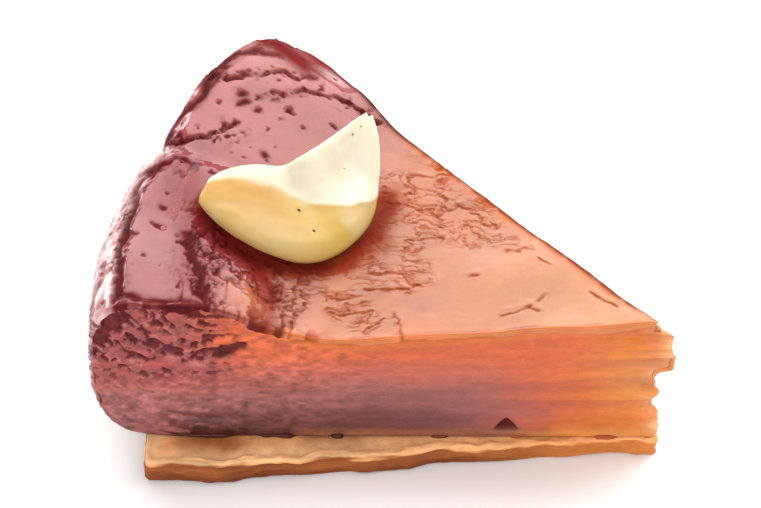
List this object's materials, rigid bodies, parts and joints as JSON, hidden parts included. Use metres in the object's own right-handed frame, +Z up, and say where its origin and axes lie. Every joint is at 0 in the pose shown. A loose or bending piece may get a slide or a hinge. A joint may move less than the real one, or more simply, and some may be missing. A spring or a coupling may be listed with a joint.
{
  "type": "tarte tatin slice",
  "caption": "Wedge of caramelised apple tart on a thin pastry base, with a spooned dollop of vanilla cream on top.",
  "frame": {"origin": "on the pastry's flat underside, near the middle of the slice's length, on its centreline", "axes": "+Z up out of the top; +X along the slice's centreline towards its tip; the rim is at -X"},
  "size_m": [0.1222, 0.0986, 0.0525],
  "materials": {
    "pastry": "baked pastry, dry and finely flaked, paler at its edges and browned below",
    "apple": "caramelised apple, wet gloss, amber at the tip and deep red-brown at the rim",
    "cream": "vanilla cream, smooth satin, pale yellow",
    "vanilla_seed": "tiny dark vanilla seeds in the cream"
  },
  "bodies": {
    "root": {"pastry_base": "pastry", "apple_layer": "apple", "cream_quenelle": "cream"}
  },
  "joints": []
}
